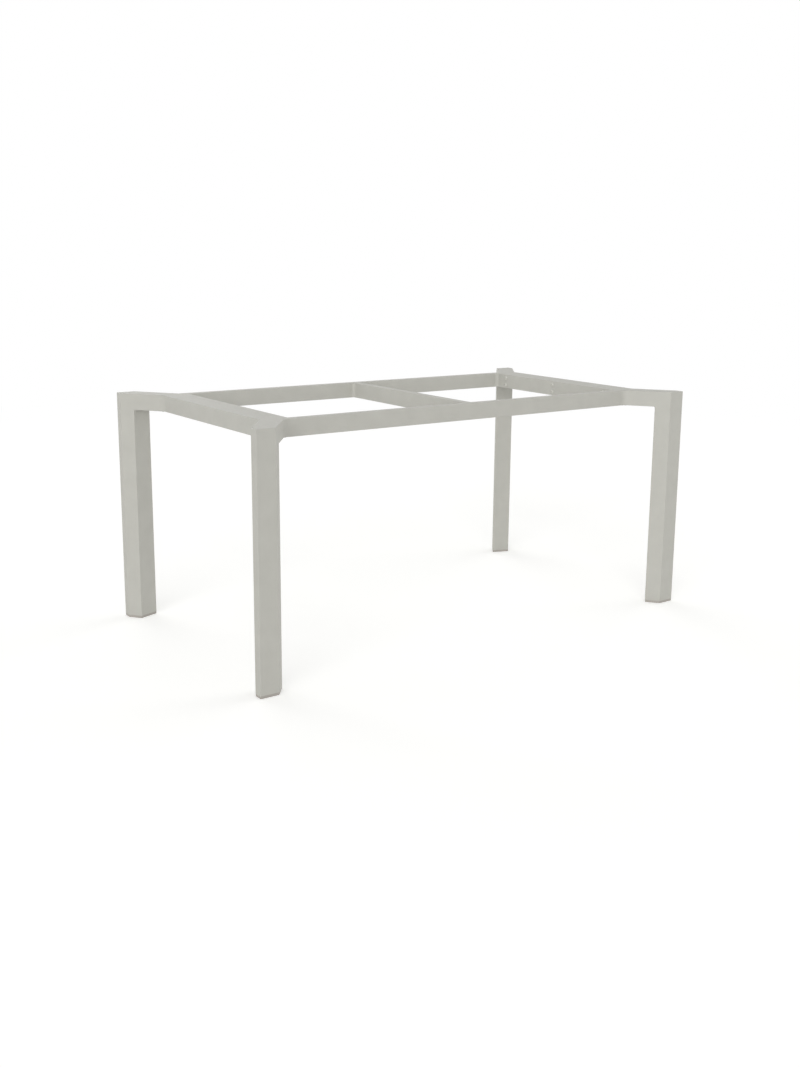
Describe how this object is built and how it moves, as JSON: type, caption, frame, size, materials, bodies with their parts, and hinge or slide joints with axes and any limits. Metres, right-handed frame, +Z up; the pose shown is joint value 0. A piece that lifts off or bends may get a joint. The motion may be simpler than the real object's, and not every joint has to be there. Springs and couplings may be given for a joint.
{
  "type": "table frame",
  "caption": "Powder-coated table underframe: a rectangular rail frame with a crossbar, bolted to end beams whose diagonal corner arms carry faceted legs.",
  "frame": {"origin": "centre of the footprint, on the floor", "axes": "+Z up, +X along the long side rails, +Y from the front side rail to the back one"},
  "size_m": [1.6, 0.9, 0.725],
  "materials": {
    "powder_coat": "fine-textured matt powder coat, warm pale grey",
    "glide_plastic": "moulded, grey",
    "bolt_coat": "steel, coated in the frame's colour",
    "nut_steel": "zinc plated"
  },
  "bodies": {
    "root": {"side_rail_front": "powder_coat", "side_rail_back": "powder_coat", "end_bar_left": "powder_coat", "end_bar_right": "powder_coat", "crossbar": "powder_coat", "end_beam_left": "powder_coat", "end_beam_right": "powder_coat", "corner_arm_front_left": "powder_coat", "corner_arm_front_right": "powder_coat", "corner_arm_back_left": "powder_coat", "corner_arm_back_right": "powder_coat", "leg_front_left": "powder_coat", "leg_front_right": "powder_coat", "leg_back_left": "powder_coat", "leg_back_right": "powder_coat", "leg_cap_front_left": "powder_coat", "leg_cap_front_right": "powder_coat", "leg_cap_back_left": "powder_coat", "leg_cap_back_right": "powder_coat", "foot_glide_front_left": "glide_plastic", "foot_glide_front_right": "glide_plastic", "foot_glide_back_left": "glide_plastic", "foot_glide_back_right": "glide_plastic", "end_bolts_left": "bolt_coat", "rivet_nuts_left": "nut_steel", "end_bolts_right": "bolt_coat", "rivet_nuts_right": "nut_steel"}
  },
  "joints": []
}
